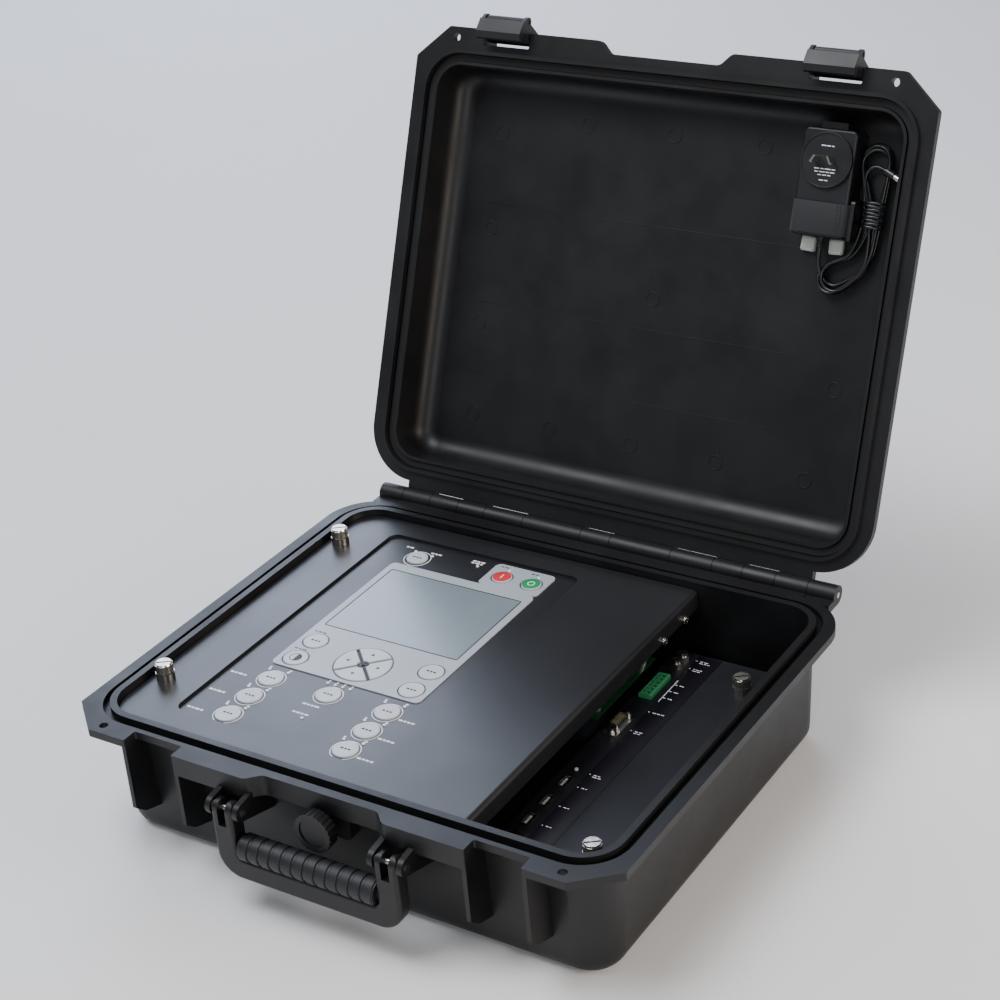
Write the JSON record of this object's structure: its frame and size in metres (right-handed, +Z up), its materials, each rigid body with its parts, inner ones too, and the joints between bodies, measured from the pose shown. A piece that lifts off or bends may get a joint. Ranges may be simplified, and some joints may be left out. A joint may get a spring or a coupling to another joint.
{
  "type": "portable relay controller test set",
  "caption": "Open waterproof case holding a protection relay operator panel with display, membrane keys and a connector bay, and a mains adapter in its lid.",
  "frame": {"origin": "centre of the base's underside", "axes": "+X to the user's right, +Y from the handle at the front to the hinge at the back, +Z up"},
  "size_m": [0.474, 0.6057, 0.4958],
  "materials": {
    "case_plastic": "fine textured black polypropylene",
    "panel_paint": "satin black powder coat",
    "plate_paint": "matt black powder coat",
    "bracket": "mill finish",
    "overlay_film": "fine textured black polyester film",
    "fascia_film": "silver-grey printed film",
    "lcd_glass": "unlit grey-green liquid crystal display behind a clear window",
    "module_steel": "zinc plated sheet",
    "circuit_board": "green solder mask",
    "socket_steel": "nickel plated",
    "terminal_green": "moulded polyamide",
    "steel": "nickel plated, turned",
    "grip_rubber": "soft moulded-on rubber",
    "gasket_rubber": "soft foam rubber",
    "adapter_plastic": "black moulding",
    "strap_fabric": "black woven hook-and-loop strap",
    "pad_foam": "pale self-adhesive pad",
    "cord_plastic": "soft black sheath",
    "key_film": "pale embossed film key"
  },
  "bodies": {
    "base": {"base_shell": "case_plastic", "pivot_pins": "steel", "valve_seat": "case_plastic", "main_panel": "panel_paint", "connector_plate": "plate_paint", "panel_posts": "bracket", "keypad_overlay": "overlay_film", "display_fascia": "fascia_film", "display_window": "lcd_glass", "display_module": "module_steel", "keypad_board": "circuit_board", "control_module": "module_steel", "power_supply": "module_steel", "backup_battery": "case_plastic", "usb_sockets": "socket_steel", "network_socket": "socket_steel", "serial_socket": "socket_steel", "terminal_block": "terminal_green", "power_jacks": "socket_steel", "panel_screws": "steel"},
    "lid": {"lid_shell": "case_plastic", "lid_gasket": "gasket_rubber", "latch_pins": "steel", "adapter_body": "adapter_plastic", "adapter_pins": "steel", "adapter_strap": "strap_fabric", "strap_buckle": "adapter_plastic", "foam_pads": "pad_foam", "cord_hank": "cord_plastic", "cord_lead": "cord_plastic", "dc_plug": "cord_plastic"},
    "handle": {"handle_frame": "case_plastic", "handle_grip": "grip_rubber"},
    "valve": {"valve_knob": "case_plastic"},
    "latch_left": {"latch_arm_left": "case_plastic"},
    "lever_left": {"latch_lever_left": "case_plastic"},
    "latch_right": {"latch_arm_right": "case_plastic"},
    "lever_right": {"latch_lever_right": "case_plastic"},
    "thumbscrew_back_left_body": {"thumbscrew_back_left": "steel"},
    "thumbscrew_front_left_body": {"thumbscrew_front_left": "steel"},
    "thumbscrew_back_right_body": {"thumbscrew_back_right": "steel"},
    "thumbscrew_front_right_body": {"thumbscrew_front_right": "steel"},
    "key_mode_body": {"key_mode": "key_film"},
    "key_close_body": {"key_close": "key_film"},
    "key_open_body": {"key_open": "key_film"},
    "key_panel_body": {"key_panel": "key_film"},
    "key_contrast_body": {"key_contrast": "key_film"},
    "key_escape_body": {"key_escape": "key_film"},
    "key_enter_body": {"key_enter": "key_film"},
    "key_fast_left_1_body": {"key_fast_left_1": "key_film"},
    "key_fast_left_2_body": {"key_fast_left_2": "key_film"},
    "key_fast_left_3_body": {"key_fast_left_3": "key_film"},
    "key_fast_mid_body": {"key_fast_mid": "key_film"},
    "key_fast_right_1_body": {"key_fast_right_1": "key_film"},
    "key_fast_right_2_body": {"key_fast_right_2": "key_film"},
    "key_fast_right_3_body": {"key_fast_right_3": "key_film"},
    "key_right_body": {"key_right": "key_film"},
    "key_up_body": {"key_up": "key_film"},
    "key_left_body": {"key_left": "key_film"},
    "key_down_body": {"key_down": "key_film"}
  },
  "joints": [
    {"name": "lid_hinge", "type": "hinge", "parent": "base", "child": "lid", "pos_m": [0, 0.21, 0.106], "axis": [1, 0, 0], "range_deg": [0, 112]},
    {"name": "handle_hinge", "type": "hinge", "parent": "base", "child": "handle", "pos_m": [0, -0.206, 0.084], "axis": [-1, 0, 0], "range_deg": [0, 95]},
    {"name": "valve_turn", "type": "hinge", "parent": "base", "child": "valve", "pos_m": [0, -0.195, 0.08], "axis": [0, -1, 0], "continuous": true},
    {"name": "latch_left_hinge", "type": "hinge", "parent": "lid", "child": "latch_left", "pos_m": [-0.1495, 0.37004, 0.47275], "axis": [1, 0, 0], "range_deg": [-60, 25]},
    {"name": "lever_left_hinge", "type": "hinge", "parent": "latch_left", "child": "lever_left", "pos_m": [-0.1495, 0.36257, 0.49176], "axis": [1, 0, 0], "range_deg": [0, 100]},
    {"name": "latch_right_hinge", "type": "hinge", "parent": "lid", "child": "latch_right", "pos_m": [0.1495, 0.37004, 0.47275], "axis": [1, 0, 0], "range_deg": [-60, 25]},
    {"name": "lever_right_hinge", "type": "hinge", "parent": "latch_right", "child": "lever_right", "pos_m": [0.1495, 0.36257, 0.49176], "axis": [1, 0, 0], "range_deg": [0, 100]},
    {"name": "thumbscrew_back_left_turn", "type": "hinge", "parent": "base", "child": "thumbscrew_back_left_body", "pos_m": [-0.203, 0.123, 0.11], "axis": [0, 0, 1], "continuous": true},
    {"name": "thumbscrew_front_left_turn", "type": "hinge", "parent": "base", "child": "thumbscrew_front_left_body", "pos_m": [-0.203, -0.11, 0.11], "axis": [0, 0, 1], "continuous": true},
    {"name": "thumbscrew_back_right_turn", "type": "hinge", "parent": "base", "child": "thumbscrew_back_right_body", "pos_m": [0.175, 0.123, 0.064], "axis": [0, 0, 1], "continuous": true},
    {"name": "thumbscrew_front_right_turn", "type": "hinge", "parent": "base", "child": "thumbscrew_front_right_body", "pos_m": [0.175, -0.11, 0.064], "axis": [0, 0, 1], "continuous": true},
    {"name": "key_mode_press", "type": "slide", "parent": "base", "child": "key_mode_body", "axis": [0, 0, -1], "range_m": [0, 0.0006], "stiffness_N_per_m": 800},
    {"name": "key_close_press", "type": "slide", "parent": "base", "child": "key_close_body", "axis": [0, 0, -1], "range_m": [0, 0.0006], "stiffness_N_per_m": 800},
    {"name": "key_open_press", "type": "slide", "parent": "base", "child": "key_open_body", "axis": [0, 0, -1], "range_m": [0, 0.0006], "stiffness_N_per_m": 800},
    {"name": "key_panel_press", "type": "slide", "parent": "base", "child": "key_panel_body", "axis": [0, 0, -1], "range_m": [0, 0.0006], "stiffness_N_per_m": 800},
    {"name": "key_contrast_press", "type": "slide", "parent": "base", "child": "key_contrast_body", "axis": [0, 0, -1], "range_m": [0, 0.0006], "stiffness_N_per_m": 800},
    {"name": "key_escape_press", "type": "slide", "parent": "base", "child": "key_escape_body", "axis": [0, 0, -1], "range_m": [0, 0.0006], "stiffness_N_per_m": 800},
    {"name": "key_enter_press", "type": "slide", "parent": "base", "child": "key_enter_body", "axis": [0, 0, -1], "range_m": [0, 0.0006], "stiffness_N_per_m": 800},
    {"name": "key_fast_left_1_press", "type": "slide", "parent": "base", "child": "key_fast_left_1_body", "axis": [0, 0, -1], "range_m": [0, 0.0006], "stiffness_N_per_m": 800},
    {"name": "key_fast_left_2_press", "type": "slide", "parent": "base", "child": "key_fast_left_2_body", "axis": [0, 0, -1], "range_m": [0, 0.0006], "stiffness_N_per_m": 800},
    {"name": "key_fast_left_3_press", "type": "slide", "parent": "base", "child": "key_fast_left_3_body", "axis": [0, 0, -1], "range_m": [0, 0.0006], "stiffness_N_per_m": 800},
    {"name": "key_fast_mid_press", "type": "slide", "parent": "base", "child": "key_fast_mid_body", "axis": [0, 0, -1], "range_m": [0, 0.0006], "stiffness_N_per_m": 800},
    {"name": "key_fast_right_1_press", "type": "slide", "parent": "base", "child": "key_fast_right_1_body", "axis": [0, 0, -1], "range_m": [0, 0.0006], "stiffness_N_per_m": 800},
    {"name": "key_fast_right_2_press", "type": "slide", "parent": "base", "child": "key_fast_right_2_body", "axis": [0, 0, -1], "range_m": [0, 0.0006], "stiffness_N_per_m": 800},
    {"name": "key_fast_right_3_press", "type": "slide", "parent": "base", "child": "key_fast_right_3_body", "axis": [0, 0, -1], "range_m": [0, 0.0006], "stiffness_N_per_m": 800},
    {"name": "key_right_press", "type": "slide", "parent": "base", "child": "key_right_body", "axis": [0, 0, -1], "range_m": [0, 0.0006], "stiffness_N_per_m": 800},
    {"name": "key_up_press", "type": "slide", "parent": "base", "child": "key_up_body", "axis": [0, 0, -1], "range_m": [0, 0.0006], "stiffness_N_per_m": 800},
    {"name": "key_left_press", "type": "slide", "parent": "base", "child": "key_left_body", "axis": [0, 0, -1], "range_m": [0, 0.0006], "stiffness_N_per_m": 800},
    {"name": "key_down_press", "type": "slide", "parent": "base", "child": "key_down_body", "axis": [0, 0, -1], "range_m": [0, 0.0006], "stiffness_N_per_m": 800}
  ]
}
